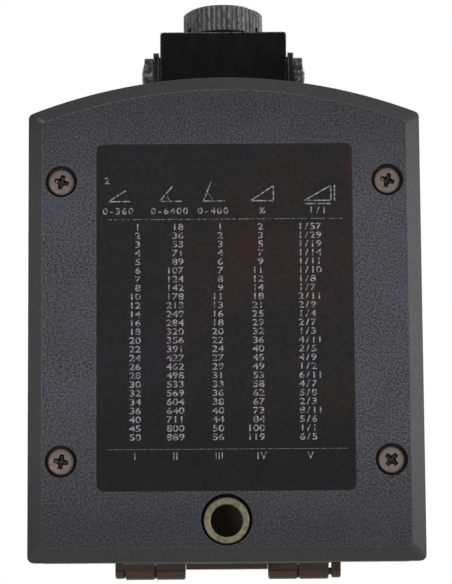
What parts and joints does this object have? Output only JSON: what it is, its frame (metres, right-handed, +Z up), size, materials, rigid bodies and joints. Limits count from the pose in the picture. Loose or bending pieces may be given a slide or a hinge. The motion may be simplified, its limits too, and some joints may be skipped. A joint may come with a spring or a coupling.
{
  "type": "marching compass",
  "caption": "Pocket sighting compass: arched metal case with a folding slotted lid, turning bezel, sealed card capsule, flip-up focusing eyepiece and tripod socket.",
  "frame": {"origin": "foot of the card's pivot axis on the back of the case, at the middle of the case", "axes": "+Z up through the dial, +Y towards the lid hinge, -Y towards the eyepiece, +X to the right in the reference view of the back"},
  "size_m": [0.065, 0.1003, 0.0337],
  "materials": {
    "cover_paint": "fine-grained powder coat on cast aluminium, dark blue-grey",
    "body_paint": "fine-grained powder coat on cast aluminium, dark grey",
    "table_print": "dark printed plate with pale figures",
    "screw_bronze": "worn brown-pink plated steel",
    "bush_brass": "aged brass",
    "hinge_bronze": "dark bronze-brown plating, worn at the edges",
    "eyepiece_black": "smooth glossy black enamel on aluminium",
    "bracket_black": "satin black",
    "lug_screw": "blackened steel, bright at the edges",
    "knurl_worn": "worn black anodising over bright metal",
    "cell_black": "matt black anodising",
    "bezel_black": "satin black anodising with pale figures",
    "bright_steel": "bright steel",
    "plain_brass": "turned brass",
    "clear_glass": "clear glass",
    "lens_glass": "coated optical glass",
    "vial_liquid": "yellow-green liquid under glass",
    "black_rubber": "matt black rubber",
    "cup_paint": "blasted aluminium",
    "card_print": "black card with pale figures",
    "magnet_metal": "nickel-plated magnet",
    "jewel_red": "polished red jewel",
    "scale_print": "white enamel with black figures",
    "pointer_red": "red enamel",
    "luminous": "pale green luminous paint"
  },
  "bodies": {
    "case": {"bottom_cover": "cover_paint", "label_plate": "table_print", "cover_screws": "screw_bronze", "tripod_bush": "bush_brass", "cover_gasket": "black_rubber", "case_body": "body_paint", "side_scale": "scale_print", "index_dots": "luminous", "level_cup": "plain_brass", "level_vial": "vial_liquid", "capsule_cup": "cup_paint", "capsule_screws": "bright_steel", "pivot_post": "bright_steel", "clinometer_scale": "scale_print", "clinometer_stud": "plain_brass", "capsule_seal": "black_rubber", "capsule_glass": "clear_glass", "capsule_ring": "bezel_black", "bezel_clip": "bright_steel", "click_spring": "bright_steel", "case_hinge_leaf": "hinge_bronze", "case_leaf_screws": "hinge_bronze", "hinge_pins": "hinge_bronze", "pivot_screws": "lug_screw", "eyepiece_spring": "bright_steel", "spring_screw": "bright_steel"},
    "card": {"compass_card": "card_print", "card_magnet": "magnet_metal", "card_jewel": "jewel_red"},
    "pointer": {"clinometer_pointer": "pointer_red", "pointer_bush": "plain_brass"},
    "bezel": {"bezel_ring": "bezel_black", "bezel_glass": "clear_glass", "glass_ring": "bezel_black", "bezel_index": "luminous"},
    "lid": {"lid_frame": "body_paint", "lid_hinge_leaf": "hinge_bronze", "lid_leaf_screws": "hinge_bronze", "sight_wire": "bright_steel", "lid_dots": "luminous", "lid_pads": "black_rubber"},
    "eyepiece": {"eyepiece_housing": "eyepiece_black", "eyepiece_bracket": "bracket_black", "bracket_screws": "bright_steel", "prism": "lens_glass", "prism_window": "clear_glass", "prism_cap": "eyepiece_black", "cap_screws": "bright_steel"},
    "focus_ring": {"focus_ring": "knurl_worn", "focus_screws": "lug_screw"},
    "lens_cell": {"lens_cell": "cell_black", "eyepiece_lens": "lens_glass", "lens_ring": "cell_black"}
  },
  "joints": [
    {"name": "lid_hinge", "type": "hinge", "parent": "case", "child": "lid", "pos_m": [0, 0.0415, 0.0191], "axis": [-1, 0, 0], "range_deg": [0, 180]},
    {"name": "eyepiece_flip", "type": "hinge", "parent": "case", "child": "eyepiece", "pos_m": [0, -0.044, 0.0176], "axis": [1, 0, 0], "range_deg": [0, 90]},
    {"name": "focus_turn", "type": "hinge", "parent": "eyepiece", "child": "focus_ring", "pos_m": [0, -0.0515, 0.0264], "axis": [0, -0.9986, 0.0523], "range_deg": [-144, 144]},
    {"name": "lens_slide", "type": "slide", "parent": "eyepiece", "child": "lens_cell", "axis": [0, -0.9986, 0.0523], "range_m": [-0.0008, 0.0008]},
    {"name": "bezel_turn", "type": "hinge", "parent": "case", "child": "bezel", "pos_m": [0, 0, 0.017], "axis": [0, 0, 1], "continuous": true},
    {"name": "card_turn", "type": "hinge", "parent": "case", "child": "card", "pos_m": [0, 0, 0.0114], "axis": [0, 0, 1], "continuous": true},
    {"name": "pointer_swing", "type": "hinge", "parent": "case", "child": "pointer", "pos_m": [0, 0, 0.0137], "axis": [0, 0, 1], "continuous": true}
  ],
  "couplings": [
    {"joint": "lens_slide", "follows": "focus_turn", "m_per_rad": 0.000318}
  ]
}
